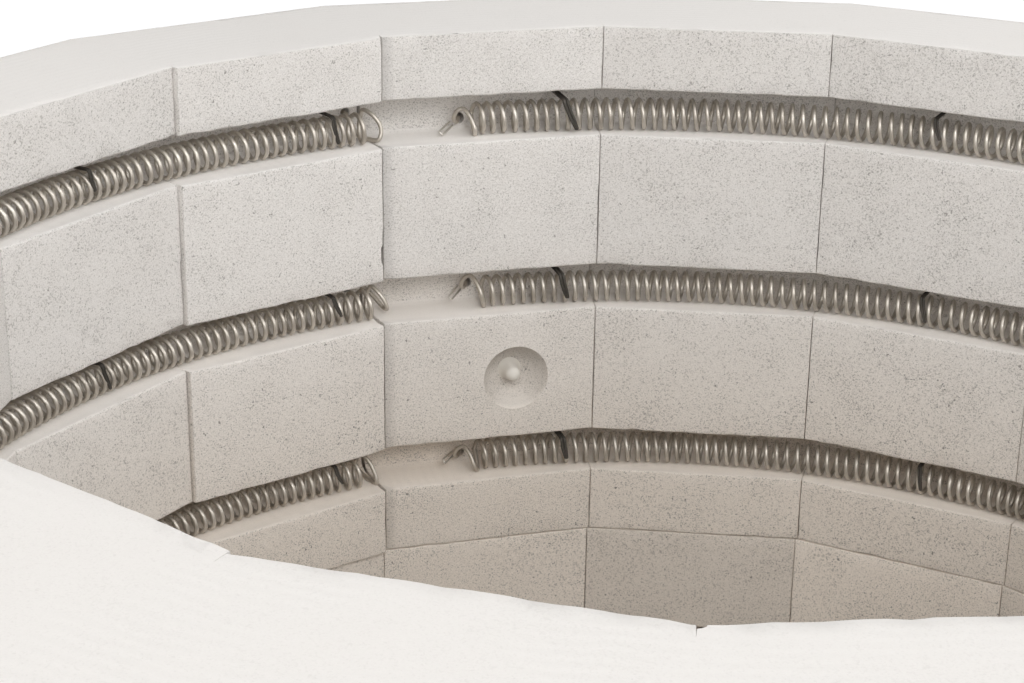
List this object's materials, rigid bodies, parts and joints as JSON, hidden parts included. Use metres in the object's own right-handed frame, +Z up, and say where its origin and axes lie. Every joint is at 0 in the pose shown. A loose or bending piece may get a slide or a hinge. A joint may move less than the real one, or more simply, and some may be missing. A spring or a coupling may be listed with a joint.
{
  "type": "top-loading ceramic kiln",
  "caption": "Round top-loading electric kiln with upright firebrick walls, coiled elements in grooves, a hinged brick lid resting open and a side control box.",
  "frame": {"origin": "on the chamber's axis, at the level of the feet, in the middle of the floor bolts", "axes": "+Z up along the chamber's axis; +Y to the back, where the lid hinges; +X to the control box side"},
  "size_m": [0.7636, 0.9144, 1.3547],
  "materials": {
    "firebrick": "matte",
    "heating_wire": "satin",
    "white_ceramic": "matte",
    "stainless_sheet": "satin",
    "bright_steel": "satin",
    "dark_paint": "satin",
    "panel_paint": "satin",
    "brass": "satin",
    "black_plastic": "matte",
    "gloss_black": "gloss",
    "key_plastic": "satin",
    "display_glass": "gloss",
    "red_lens": "gloss"
  },
  "bodies": {
    "kiln": {"wall_brick_01": "firebrick", "wall_brick_02": "firebrick", "wall_brick_03": "firebrick", "wall_brick_04": "firebrick", "wall_brick_05": "firebrick", "wall_brick_06": "firebrick", "wall_brick_07": "firebrick", "wall_brick_08": "firebrick", "wall_brick_09": "firebrick", "wall_brick_10": "firebrick", "wall_brick_11": "firebrick", "wall_brick_12": "firebrick", "wall_brick_13": "firebrick", "wall_brick_14": "firebrick", "wall_brick_15": "firebrick", "wall_brick_16": "firebrick", "wall_brick_17": "firebrick", "lower_bricks": "firebrick", "floor_bricks": "firebrick", "inlet_brick": "firebrick", "element_top": "heating_wire", "element_second": "heating_wire", "element_third": "heating_wire", "element_bottom": "heating_wire", "element_staples": "heating_wire", "element_bushings": "white_ceramic", "thermocouple": "white_ceramic", "terminal_block": "white_ceramic", "jacket": "stainless_sheet", "base_pan": "stainless_sheet", "jacket_bolts": "bright_steel", "case_screws": "bright_steel", "hinge_pin": "bright_steel", "damper_rails": "bright_steel", "stand_frame": "dark_paint", "stand_legs": "dark_paint", "hinge_bracket": "dark_paint", "control_box": "dark_paint", "control_panel": "panel_paint", "element_terminals": "brass", "thermocouple_head": "black_plastic", "controller": "black_plastic", "contactors": "black_plastic", "cable_gland": "black_plastic", "power_switch": "black_plastic", "display_window": "display_glass", "pilot_lamp": "red_lens"},
    "lid": {"lid_bricks": "firebrick", "lid_band": "stainless_sheet", "lid_screws": "bright_steel", "handle_rod": "bright_steel", "handle_grip": "black_plastic", "hinge_arms": "dark_paint"},
    "plug": {"peephole_plug": "white_ceramic"},
    "damper": {"damper_plate": "bright_steel"},
    "rocker": {"power_rocker": "gloss_black"},
    "key_back_cap": {"key_back": "key_plastic"},
    "key_down_cap": {"key_down": "key_plastic"},
    "key_up_cap": {"key_up": "key_plastic"},
    "key_start_cap": {"key_start": "key_plastic"}
  },
  "joints": [
    {"name": "lid_hinge", "type": "hinge", "parent": "kiln", "child": "lid", "pos_m": [0, 0.35, 0.6505], "axis": [1, 0, 0], "range_deg": [0, 105]},
    {"name": "plug_slide", "type": "slide", "parent": "kiln", "child": "plug", "axis": [-0.1837, -0.983, 0], "range_m": [0, 0.09]},
    {"name": "damper_slide", "type": "slide", "parent": "kiln", "child": "damper", "axis": [0, -1, 0], "range_m": [0, 0.05]},
    {"name": "rocker_tilt", "type": "hinge", "parent": "kiln", "child": "rocker", "pos_m": [0.40605, 0.0778, 0.401], "axis": [-0.0923, 0.9957, 0], "range_deg": [0, 16]},
    {"name": "key_back_press", "type": "slide", "parent": "kiln", "child": "key_back_cap", "axis": [-0.9957, -0.0923, 0], "range_m": [0, 0.0015], "stiffness_N_per_m": 400},
    {"name": "key_down_press", "type": "slide", "parent": "kiln", "child": "key_down_cap", "axis": [-0.9957, -0.0923, 0], "range_m": [0, 0.0015], "stiffness_N_per_m": 400},
    {"name": "key_up_press", "type": "slide", "parent": "kiln", "child": "key_up_cap", "axis": [-0.9957, -0.0923, 0], "range_m": [0, 0.0015], "stiffness_N_per_m": 400},
    {"name": "key_start_press", "type": "slide", "parent": "kiln", "child": "key_start_cap", "axis": [-0.9957, -0.0923, 0], "range_m": [0, 0.0015], "stiffness_N_per_m": 400}
  ]
}
